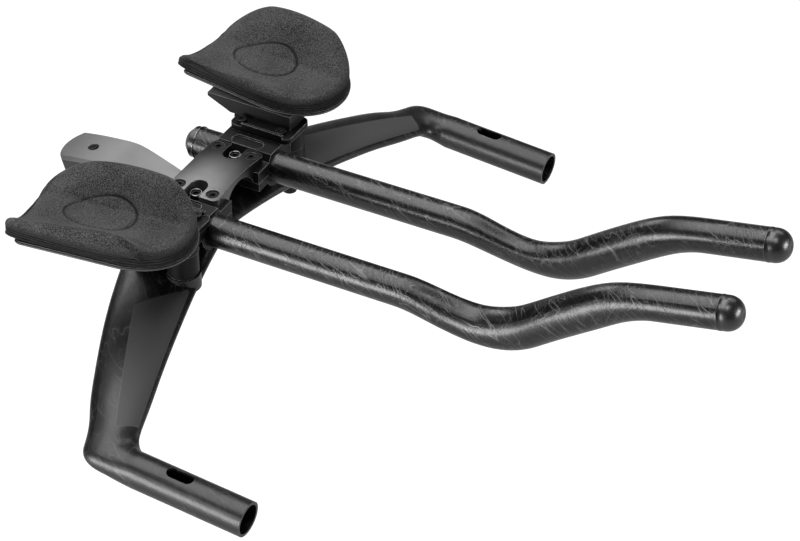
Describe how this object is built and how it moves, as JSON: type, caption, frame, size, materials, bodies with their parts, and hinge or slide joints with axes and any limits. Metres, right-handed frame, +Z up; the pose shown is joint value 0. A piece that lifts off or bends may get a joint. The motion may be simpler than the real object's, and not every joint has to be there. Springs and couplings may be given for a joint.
{
  "type": "aerobar",
  "caption": "Time-trial aerobar: a swept flat base bar in one piece with its stem, forward S-bend extensions held in clamp towers, and padded troughs for the forearms.",
  "frame": {"origin": "bottom mouth of the steerer clamp bore, on its axis", "axes": "+X to the rider's right, +Y forward along the extensions, +Z up"},
  "size_m": [0.4438, 0.5174, 0.1549],
  "materials": {
    "carbon": "gloss",
    "cover_grey": "satin",
    "bridge_grey": "satin",
    "black_alloy": "satin",
    "bolt_steel": "satin",
    "cup_shell": "satin",
    "pad_fabric": "matte",
    "cap_rubber": "matte"
  },
  "bodies": {
    "root": {"base_bar": "carbon", "extension_left": "carbon", "extension_right": "carbon", "stem_cover": "cover_grey", "bridge_plate": "bridge_grey", "clamp_upper_left": "black_alloy", "clamp_upper_right": "black_alloy", "clamp_lower_left": "black_alloy", "clamp_lower_right": "black_alloy", "riser_front_left": "black_alloy", "riser_front_right": "black_alloy", "riser_rear_left": "black_alloy", "riser_rear_right": "black_alloy", "armrest_base_left": "black_alloy", "armrest_base_right": "black_alloy", "stem_cover_screw": "bolt_steel", "steerer_clamp_bolts": "bolt_steel", "riser_bolts": "bolt_steel", "clamp_bolts": "bolt_steel", "bridge_bolts": "bolt_steel", "armrest_base_bolts": "bolt_steel", "armrest_cup_screws": "bolt_steel", "armrest_cup_left": "cup_shell", "armrest_cup_right": "cup_shell", "pad_left": "pad_fabric", "pad_right": "pad_fabric", "front_cap_left": "cap_rubber", "front_cap_right": "cap_rubber", "rear_plug_left": "cap_rubber", "rear_plug_right": "cap_rubber"}
  },
  "joints": []
}
